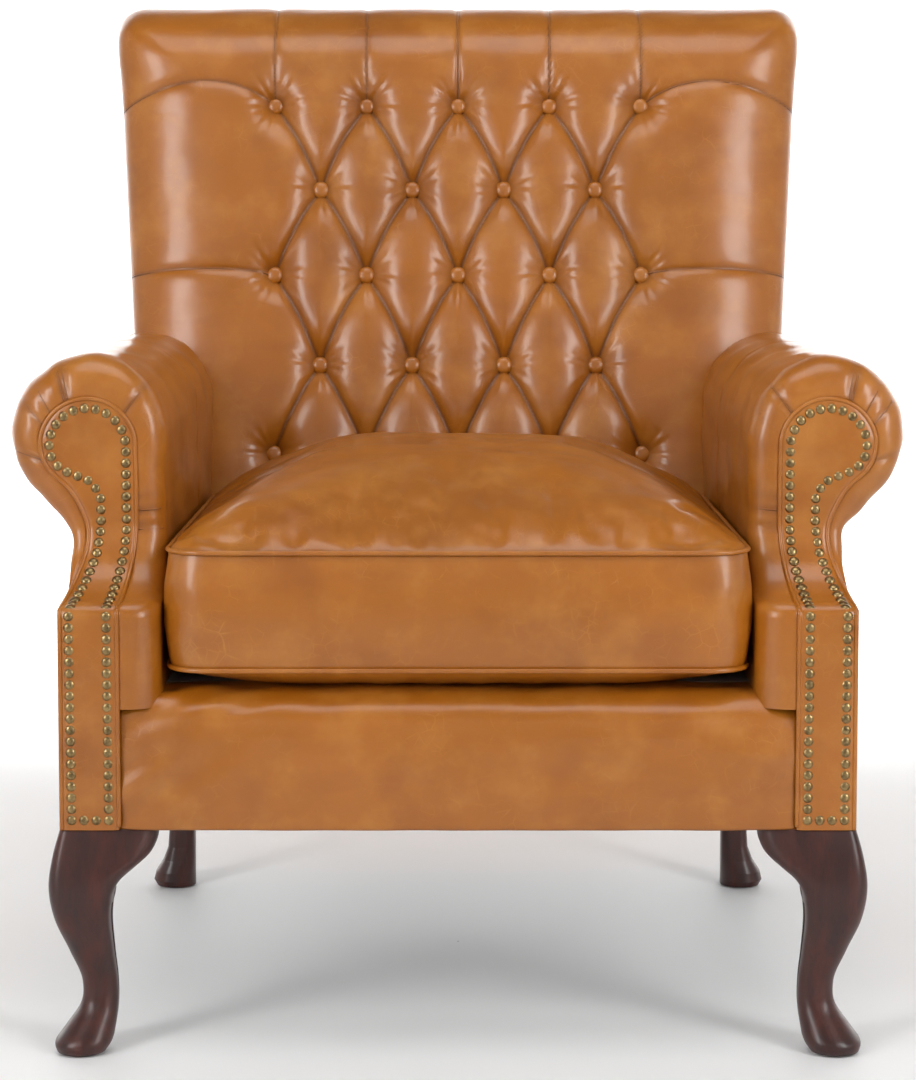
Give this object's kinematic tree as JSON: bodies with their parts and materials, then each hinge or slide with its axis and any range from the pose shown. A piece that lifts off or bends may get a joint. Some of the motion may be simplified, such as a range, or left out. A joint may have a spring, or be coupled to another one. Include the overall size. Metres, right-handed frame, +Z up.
{
  "type": "upholstered armchair",
  "caption": "Leather armchair with a raked, button-tufted rolled back, scroll arms with nailed facings, a loose seat cushion and carved curved wooden legs.",
  "frame": {"origin": "on the floor at the middle of the chair's footprint", "axes": "+Z up, the chair faces -Y, +X is on the viewer's right when looking at its front"},
  "size_m": [0.864, 0.85, 1.04],
  "materials": {
    "leather": "semi-gloss, mottled tan",
    "polished_wood": "glossy dark mahogany",
    "frame_timber": "sawn beech",
    "nail_brass": "antiqued",
    "steel": "drawn wire",
    "padding": "open foam",
    "deck_cloth": "plain woven",
    "dust_cloth": "non-woven black",
    "webbing": "coarse jute",
    "zip_tape": "woven tape",
    "zip_metal": "satin",
    "nylon": "moulded"
  },
  "bodies": {
    "chair_frame": {"back_buttons": "leather", "back_foam": "padding", "back_webbing": "webbing", "button_twines": "webbing", "crest_rail": "frame_timber", "deck_padding": "padding", "dust_cover": "dust_cloth", "foot_glides": "nylon", "frame_dowels": "frame_timber", "front_edge_roll": "padding", "front_leg_brackets": "polished_wood", "front_rail_cover": "leather", "front_seat_rail": "frame_timber", "inside_back_cover": "leather", "left_arm_facing": "leather", "left_arm_rail": "frame_timber", "left_arm_roll_padding": "padding", "left_arm_stump": "frame_timber", "left_arm_tack_rail": "frame_timber", "left_back_post": "frame_timber", "left_back_side_panel": "leather", "left_facing_nails": "nail_brass", "left_facing_piping": "leather", "left_front_leg": "polished_wood", "left_inside_arm_cover": "leather", "left_inside_arm_padding": "padding", "left_outside_arm_panel": "leather", "left_rear_leg": "polished_wood", "left_seat_rail": "frame_timber", "leg_bolts": "steel", "lower_back_rail": "frame_timber", "outside_back_panel": "leather", "rear_seat_rail": "frame_timber", "right_arm_facing": "leather", "right_arm_rail": "frame_timber", "right_arm_roll_padding": "padding", "right_arm_stump": "frame_timber", "right_arm_tack_rail": "frame_timber", "right_back_post": "frame_timber", "right_back_side_panel": "leather", "right_facing_nails": "nail_brass", "right_facing_piping": "leather", "right_front_leg": "polished_wood", "right_inside_arm_cover": "leather", "right_inside_arm_padding": "padding", "right_outside_arm_panel": "leather", "right_rear_leg": "polished_wood", "right_seat_rail": "frame_timber", "seat_corner_blocks": "frame_timber", "seat_deck_cloth": "deck_cloth", "seat_springs": "steel", "spring_clips": "steel"},
    "seat_cushion": {"cushion_core": "padding", "cushion_cover": "leather", "cushion_top_piping": "leather", "cushion_bottom_piping": "leather", "cushion_zip": "zip_tape"},
    "zip_runner": {"zip_slider": "zip_metal"}
  },
  "joints": [
    {"name": "cushion_lift", "type": "slide", "parent": "chair_frame", "child": "seat_cushion", "axis": [0, 0, 1], "range_m": [0, 0.35]},
    {"name": "zip_slide", "type": "slide", "parent": "seat_cushion", "child": "zip_runner", "axis": [1, 0, 0], "range_m": [0, 0.42]}
  ]
}
